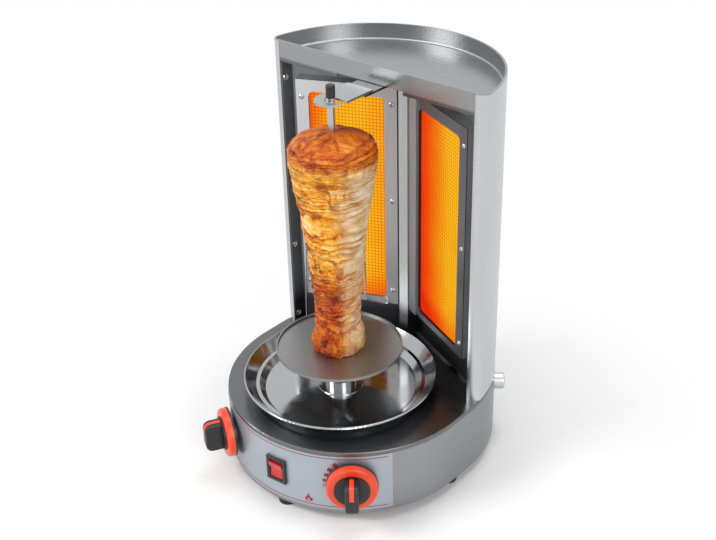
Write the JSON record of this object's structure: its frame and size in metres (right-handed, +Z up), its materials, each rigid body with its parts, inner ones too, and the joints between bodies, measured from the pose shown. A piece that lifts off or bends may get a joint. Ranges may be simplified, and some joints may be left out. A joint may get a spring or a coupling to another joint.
{
  "type": "vertical kebab grill",
  "caption": "Gas-fired upright kebab grill: round drum base with two knobs and a rocker switch, drip bowl, turning spit with stacked meat, two glowing ceramic burners and a half-round top tray.",
  "frame": {"origin": "on the floor under the middle of the whole object, knobs included", "axes": "+Z up, -Y to the front with the controls, +X to the right-hand side as seen from the front"},
  "size_m": [0.29, 0.3396, 0.4602],
  "materials": {
    "brushed_steel": "brushed stainless sheet",
    "polished_steel": "polished stainless",
    "dark_steel": "stainless sheet, a little heat-tinted",
    "galvanised": "galvanised steel",
    "zinc": "zinc-plated steel",
    "panel": "blue-grey satin foil panel",
    "rubber": "black rubber",
    "black_plastic": "black phenolic plastic",
    "red_gloss": "red plastic",
    "white_plastic": "white plastic",
    "brass": "turned brass",
    "aluminium": "drawn aluminium tube",
    "ceramic": "glowing perforated ceramic",
    "fibre": "ceramic fibre",
    "meat": "roasted meat"
  },
  "bodies": {
    "housing": {"base_drum": "brushed_steel", "base_deck": "brushed_steel", "bottom_plate": "galvanised", "rubber_feet": "rubber", "foot_screws": "zinc", "control_panel": "panel", "knob_bezels": "black_plastic", "switch_body": "black_plastic", "gas_inlet": "zinc", "gas_manifold": "galvanised", "burner_injectors": "brass", "cord_gland": "black_plastic", "terminal_block": "white_plastic", "gear_motor": "galvanised", "motor_bracket": "galvanised", "motor_screws": "zinc", "deck_bush": "brass", "back_shell": "brushed_steel", "top_tray": "brushed_steel", "arm_rivet": "zinc", "arm_washer": "zinc", "heat_wall": "brushed_steel", "wall_screws": "zinc", "centre_post": "brushed_steel", "frame_screws": "zinc", "plate_gaskets": "fibre", "gas_pipes": "aluminium", "mixer_tubes": "galvanised", "gas_valve_left": "brass", "burner_box_left": "dark_steel", "burner_frame_left": "brushed_steel", "ceramic_plate_lower_left": "ceramic", "ceramic_plate_upper_left": "ceramic", "gas_valve_right": "brass", "burner_box_right": "dark_steel", "burner_frame_right": "brushed_steel", "ceramic_plate_lower_right": "ceramic", "ceramic_plate_upper_right": "ceramic"},
    "drive": {"motor_shaft": "zinc", "drive_socket": "brushed_steel"},
    "spit": {"spit_rod": "brushed_steel", "spit_hub": "brushed_steel", "hub_thumb_screw": "polished_steel", "spit_disc": "brushed_steel", "spit_collar": "polished_steel", "spit_grip": "black_plastic", "meat_stack": "meat"},
    "bowl": {"drip_bowl": "polished_steel", "bowl_collar": "polished_steel"},
    "arm": {"support_arm": "brushed_steel", "arm_nose": "brushed_steel"},
    "valve_left": {"valve_plug_left": "brass"},
    "valve_right": {"valve_plug_right": "brass"},
    "dial_left": {"knob_left": "black_plastic", "knob_ring_left": "red_gloss", "valve_spindle_left": "brass"},
    "dial_right": {"knob_right": "black_plastic", "knob_ring_right": "red_gloss", "valve_spindle_right": "brass"},
    "rocker": {"switch_rocker": "red_gloss"}
  },
  "joints": [
    {"name": "spit_drive", "type": "hinge", "parent": "housing", "child": "drive", "pos_m": [0, -0.03099, 0.094], "axis": [0, 0, 1], "continuous": true},
    {"name": "spit_lift", "type": "slide", "parent": "drive", "child": "spit", "axis": [0, 0, 1], "range_m": [0, 0.022]},
    {"name": "bowl_lift", "type": "slide", "parent": "housing", "child": "bowl", "axis": [0, 0, 1], "range_m": [0, 0.02]},
    {"name": "arm_swing", "type": "hinge", "parent": "housing", "child": "arm", "pos_m": [0, 0.09401, 0.439], "axis": [0, 0, 1], "range_deg": [-24, 0]},
    {"name": "switch_rock", "type": "hinge", "parent": "housing", "child": "rocker", "pos_m": [0.01278, -0.14971, 0.054], "axis": [-0.9959, -0.0906, 0], "range_deg": [0, 16]},
    {"name": "valve_turn_left", "type": "hinge", "parent": "housing", "child": "valve_left", "pos_m": [-0.07118, -0.13561, 0.055], "axis": [-0.4909, -0.8712, 0], "range_deg": [0, 210]},
    {"name": "knob_push_left", "type": "slide", "parent": "valve_left", "child": "dial_left", "axis": [0.4909, 0.8712, 0], "range_m": [0, 0.0035], "stiffness_N_per_m": 1200, "springref_m": -0.003},
    {"name": "valve_turn_right", "type": "hinge", "parent": "housing", "child": "valve_right", "pos_m": [0.09282, -0.12069, 0.055], "axis": [0.6401, -0.7683, 0], "range_deg": [0, 210]},
    {"name": "knob_push_right", "type": "slide", "parent": "valve_right", "child": "dial_right", "axis": [-0.6401, 0.7683, 0], "range_m": [0, 0.0035], "stiffness_N_per_m": 1200, "springref_m": -0.003}
  ]
}
